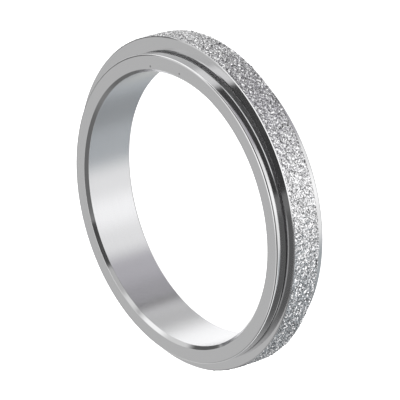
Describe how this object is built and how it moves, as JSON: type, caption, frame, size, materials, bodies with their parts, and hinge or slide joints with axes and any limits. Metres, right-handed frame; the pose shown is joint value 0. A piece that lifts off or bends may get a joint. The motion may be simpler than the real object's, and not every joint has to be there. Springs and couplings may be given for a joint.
{
  "type": "spinner ring",
  "caption": "Plain steel spinner ring: a flanged core band with a frosted outer band that turns freely in its groove.",
  "frame": {"origin": "on the bore's axis, in the plane that the ring lies on (the lower flange's flat face)", "axes": "+Z along the bore's axis, up out of the finger hole as the ring lies on its side; +X 15 degrees clockwise, seen from above, of the side on which the loose band lies lowest in its groove and stands out furthest"},
  "size_m": [0.0231, 0.0231, 0.004],
  "materials": {
    "polished_steel": "polished stainless steel, mirror-bright with fine hairlines, satin in the bore",
    "frosted_steel": "coarse frosted outside with glittering grain, polished side faces and edges"
  },
  "bodies": {
    "core": {"core_band": "polished_steel"},
    "spinner": {"spinner_band": "frosted_steel"}
  },
  "joints": [
    {"name": "spinner_spin", "type": "hinge", "parent": "core", "child": "spinner", "pos_m": [0.00016, 0.00004, 0.002], "axis": [0.0118, 0.0032, 0.9999], "continuous": true}
  ]
}
